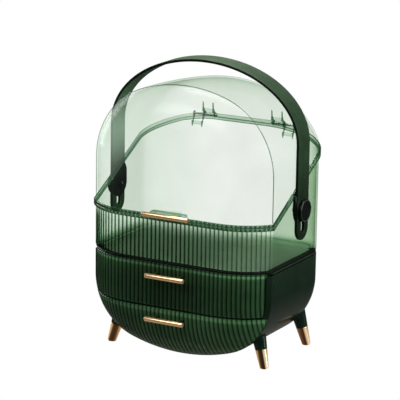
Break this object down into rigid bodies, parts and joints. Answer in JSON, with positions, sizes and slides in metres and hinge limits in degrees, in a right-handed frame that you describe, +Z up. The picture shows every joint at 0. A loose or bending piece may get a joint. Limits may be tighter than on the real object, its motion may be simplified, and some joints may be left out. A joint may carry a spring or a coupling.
{
  "type": "makeup organizer",
  "caption": "Egg-shaped vanity organizer with a hinged clear dustproof lid, a clear cabin, fluted drawers, splayed metal-tipped legs and an arched carry handle.",
  "frame": {"origin": "centre of the footprint on the floor the legs stand on", "axes": "+X to the user's right, +Y to the rear, +Z up; the drawers open towards -Y"},
  "size_m": [0.309, 0.2321, 0.4139],
  "materials": {
    "casing_green": "gloss",
    "fascia_green": "gloss, fluted",
    "tray_green": "satin",
    "handle_green": "gloss",
    "leg_green": "gloss",
    "black_plastic": "gloss",
    "clear_green": "clear tinted, gloss",
    "clear_mint": "clear tinted, gloss",
    "rose_gold": "polished rose gold plate",
    "steel": "zinc plated"
  },
  "bodies": {
    "organizer": {"base_casing": "casing_green", "deck": "casing_green", "divider_shelf": "casing_green", "shelf_rails": "casing_green", "bottom_rails": "casing_green", "cabin": "clear_green", "cabin_screws": "steel", "cabin_hinge_brackets": "clear_green", "hinge_pins": "steel", "pivot_bushes": "black_plastic", "pivot_pin_left": "steel", "pivot_pin_right": "steel", "button_cap_left": "black_plastic", "button_cap_right": "black_plastic", "leg_front_left": "leg_green", "leg_front_right": "leg_green", "leg_rear_left": "leg_green", "leg_rear_right": "leg_green", "leg_tip_front_left": "rose_gold", "leg_tip_front_right": "rose_gold", "leg_tip_rear_left": "rose_gold", "leg_tip_rear_right": "rose_gold", "leg_screws": "steel"},
    "lid": {"lid_hood": "clear_mint", "lid_hinge_brackets": "clear_mint", "lid_pull_tab": "clear_green", "lid_pull_bar": "rose_gold"},
    "handle_keepers": {"keeper_left": "black_plastic", "keeper_right": "black_plastic"},
    "handle_strap": {"handle_strap": "handle_green"},
    "middle_drawer": {"middle_tray": "tray_green", "middle_front": "fascia_green", "middle_pull_bar": "rose_gold", "middle_pull_screws": "steel"},
    "bottom_drawer": {"bottom_tray": "tray_green", "bottom_front": "fascia_green", "bottom_pull_bar": "rose_gold", "bottom_pull_screws": "steel"}
  },
  "joints": [
    {"name": "lid_hinge", "type": "hinge", "parent": "organizer", "child": "lid", "pos_m": [0, 0.1125, 0.3085], "axis": [-1, 0, 0], "range_deg": [0, 75]},
    {"name": "handle_swing", "type": "hinge", "parent": "organizer", "child": "handle_keepers", "pos_m": [0, 0.008, 0.217], "axis": [-1, 0, 0], "range_deg": [0, 128]},
    {"name": "handle_lift", "type": "slide", "parent": "handle_keepers", "child": "handle_strap", "axis": [0, 0, 1], "range_m": [0, 0.026]},
    {"name": "middle_drawer_slide", "type": "slide", "parent": "organizer", "child": "middle_drawer", "axis": [0, -1, 0], "range_m": [0, 0.13]},
    {"name": "bottom_drawer_slide", "type": "slide", "parent": "organizer", "child": "bottom_drawer", "axis": [0, -1, 0], "range_m": [0, 0.12]}
  ],
  "couplings": [
    {"joint": "handle_swing", "follows": "lid_hinge", "ratio": 1.7}
  ]
}
